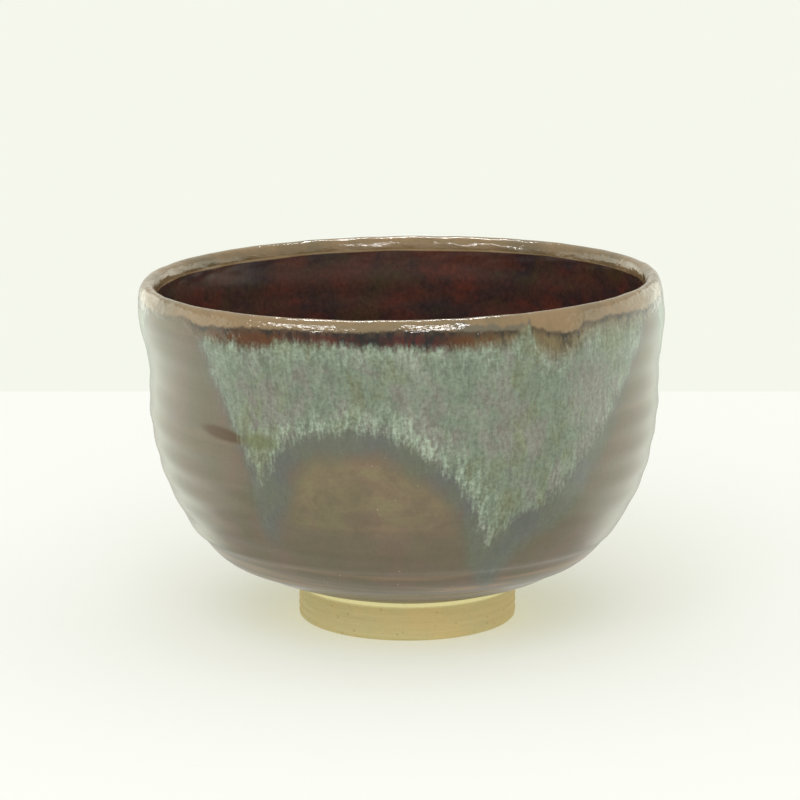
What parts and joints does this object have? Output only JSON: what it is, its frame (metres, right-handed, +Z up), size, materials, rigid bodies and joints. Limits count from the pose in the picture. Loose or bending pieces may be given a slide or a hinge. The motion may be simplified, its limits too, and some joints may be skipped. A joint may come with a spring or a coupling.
{
  "type": "matcha bowl",
  "caption": "Hand-thrown stoneware tea bowl on an upright bare foot ring, dark glaze inside, brown glaze outside and pale glaze poured down from the lip in pointed drips.",
  "frame": {"origin": "on the surface that the bowl stands on, on the bowl's axis", "axes": "+Z up through the middle of the bowl, -Y the front with the longest pour, +X to its right"},
  "size_m": [0.1212, 0.121, 0.0806],
  "materials": {
    "bare_clay": "matt unglazed buff stoneware",
    "brown_glaze": "satin mauve-brown glaze",
    "lip_glaze": "glossy mushroom-brown glaze",
    "dark_glaze": "glossy dark oxblood glaze",
    "pale_glaze": "glossy streaked blue-green glaze"
  },
  "bodies": {
    "root": {"clay_bowl": "bare_clay", "foot_ring": "bare_clay", "outer_glaze": "brown_glaze", "rim_glaze": "lip_glaze", "inner_glaze": "dark_glaze", "poured_glaze_front": "pale_glaze", "poured_glaze_right": "pale_glaze", "poured_glaze_left": "pale_glaze"}
  },
  "joints": []
}
